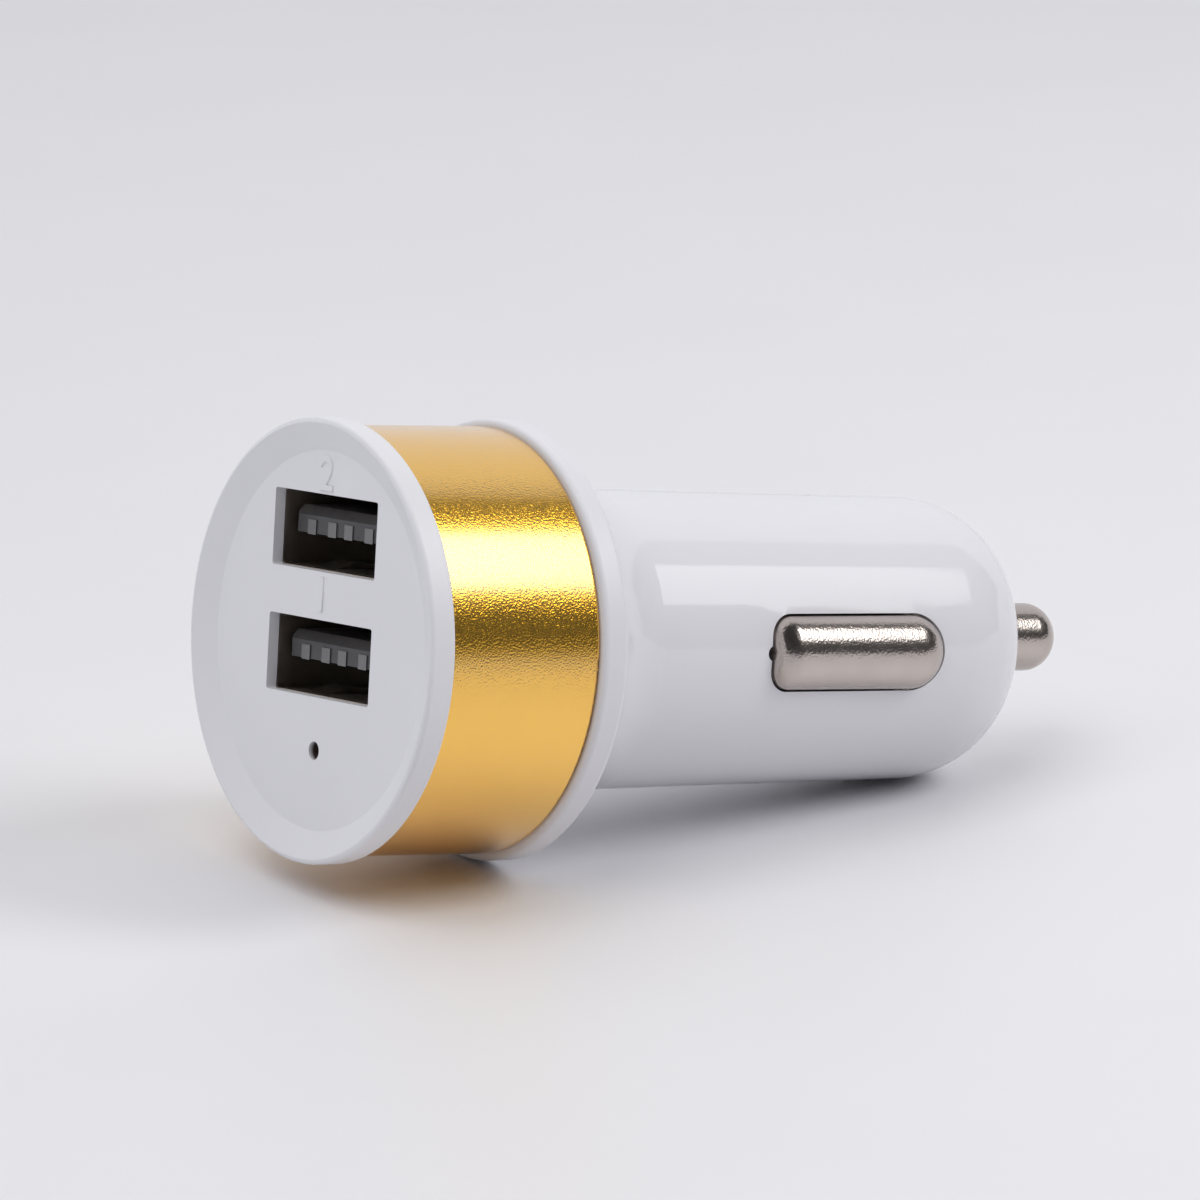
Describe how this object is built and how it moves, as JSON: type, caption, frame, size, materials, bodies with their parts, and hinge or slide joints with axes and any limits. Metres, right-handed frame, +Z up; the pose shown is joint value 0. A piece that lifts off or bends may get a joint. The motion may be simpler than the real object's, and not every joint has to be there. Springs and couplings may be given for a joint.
{
  "type": "car usb charger plug",
  "caption": "Bullet-shaped plug for a car lighter socket with a gold trim band, stacked USB ports in its flat face, side spring contacts and a sprung tip.",
  "frame": {"origin": "on the plug's axis at the shoulder, the back face of the rear flange, where the plug stops against the socket's rim", "axes": "+X along the plug's axis towards the tip contact, +Z up with the two ports stacked, ports face -X"},
  "size_m": [0.0623, 0.03, 0.03],
  "materials": {
    "cap_white": "satin moulded white plastic",
    "body_white": "gloss moulded white plastic",
    "gold_anodised": "fine blasted gold anodised aluminium",
    "nickel": "bright nickel plating",
    "spring_steel": "drawn spring wire",
    "terminal_brass": "stamped brass",
    "board_green": "glass fibre board with solder mask",
    "tinplate": "folded tinplate",
    "insulator_dark": "dark moulded insulator",
    "contact_metal": "plated stamped contacts",
    "lamp_clear": "clear cast lens",
    "lead_tin": "tinned wire",
    "can_sleeve": "shrink sleeve over an aluminium can",
    "ferrite": "pressed ferrite",
    "copper": "enamelled copper winding",
    "chip_black": "moulded package",
    "ceramic_tan": "fired ceramic"
  },
  "bodies": {
    "charger": {"front_cap": "cap_white", "trim_sleeve": "gold_anodised", "plug_body": "body_white", "tip_spring": "spring_steel", "tip_terminal": "terminal_brass", "port_board": "board_green", "main_board": "board_green", "usb_shell_upper": "tinplate", "usb_shell_lower": "tinplate", "usb_insulator_upper": "insulator_dark", "usb_insulator_lower": "insulator_dark", "usb_contacts_upper": "contact_metal", "usb_contacts_lower": "contact_metal", "indicator_led": "lamp_clear", "led_leads": "lead_tin", "input_capacitor": "can_sleeve", "output_capacitor": "can_sleeve", "capacitor_leads": "lead_tin", "inductor_core": "ferrite", "inductor_winding": "copper", "converter_chip": "chip_black", "chip_leads": "lead_tin", "rectifier_diode": "chip_black", "diode_terminals": "lead_tin", "chip_resistors": "chip_black", "chip_capacitors": "ceramic_tan"},
    "tip": {"tip_contact": "nickel"},
    "left_contact": {"side_contact_left": "nickel"},
    "right_contact": {"side_contact_right": "nickel"}
  },
  "joints": [
    {"name": "tip_press", "type": "slide", "parent": "charger", "child": "tip", "axis": [-1, 0, 0], "range_m": [0, 0.004], "stiffness_N_per_m": 900, "deforming": ["tip_spring"]},
    {"name": "left_contact_press", "type": "hinge", "parent": "charger", "child": "left_contact", "pos_m": [0.00235, 0.00702, 0], "axis": [0, 0, -1], "range_deg": [0, 3.4], "stiffness_Nm_per_rad": 1.2},
    {"name": "right_contact_press", "type": "hinge", "parent": "charger", "child": "right_contact", "pos_m": [0.00235, -0.00702, 0], "axis": [0, 0, 1], "range_deg": [0, 3.4], "stiffness_Nm_per_rad": 1.2}
  ]
}
